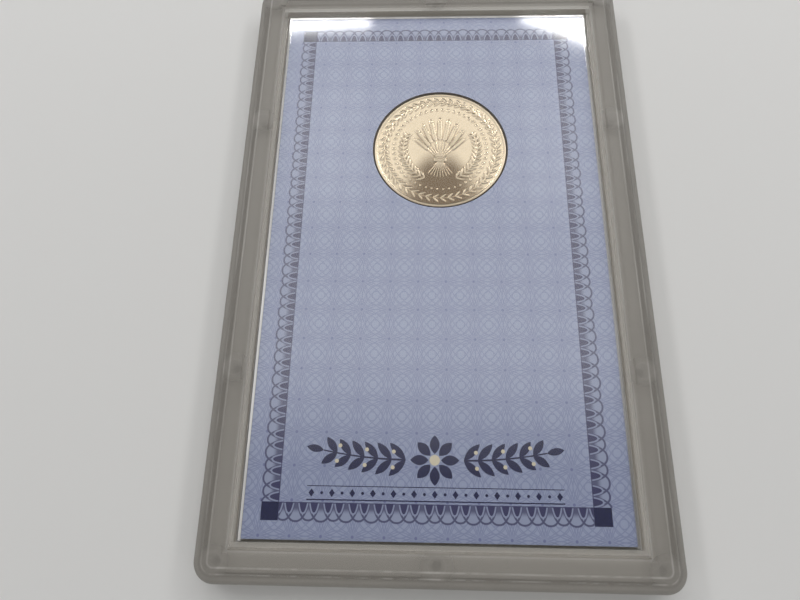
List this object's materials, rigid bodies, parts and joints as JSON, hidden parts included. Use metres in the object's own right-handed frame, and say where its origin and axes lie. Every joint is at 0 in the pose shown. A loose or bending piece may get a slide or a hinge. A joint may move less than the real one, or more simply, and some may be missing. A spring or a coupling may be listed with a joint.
{
  "type": "graded coin slab",
  "caption": "Flat rectangular coin holder: two clear shells with a frosted rim, pressed together on pegs round a printed card insert that frames a coin.",
  "frame": {"origin": "middle of the back face, on the surface that the slab lies on", "axes": "+X across the print to its right, +Y up the print, +Z out of the printed face"},
  "size_m": [0.0886, 0.1386, 0.0071],
  "materials": {
    "clear_plastic": "clear polystyrene, polished in the window and frosted on the rim",
    "printed_card": "smooth printed card, pale blue with a navy lace border",
    "plain_board": "plain white board",
    "coin_silver": "struck metal, bright with a satin field"
  },
  "bodies": {
    "tray": {"rear_shell": "clear_plastic", "rear_card": "printed_card", "core_board": "plain_board", "front_card": "printed_card"},
    "lid": {"front_shell": "clear_plastic"},
    "coin": {"coin": "coin_silver"}
  },
  "joints": [
    {"name": "lid_lift", "type": "slide", "parent": "tray", "child": "lid", "axis": [0, 0, 1], "range_m": [0, 0.02]},
    {"name": "coin_spin", "type": "hinge", "parent": "tray", "child": "coin", "pos_m": [0.001, 0.0233, 0.00337], "axis": [0, 0, 1], "continuous": true}
  ]
}
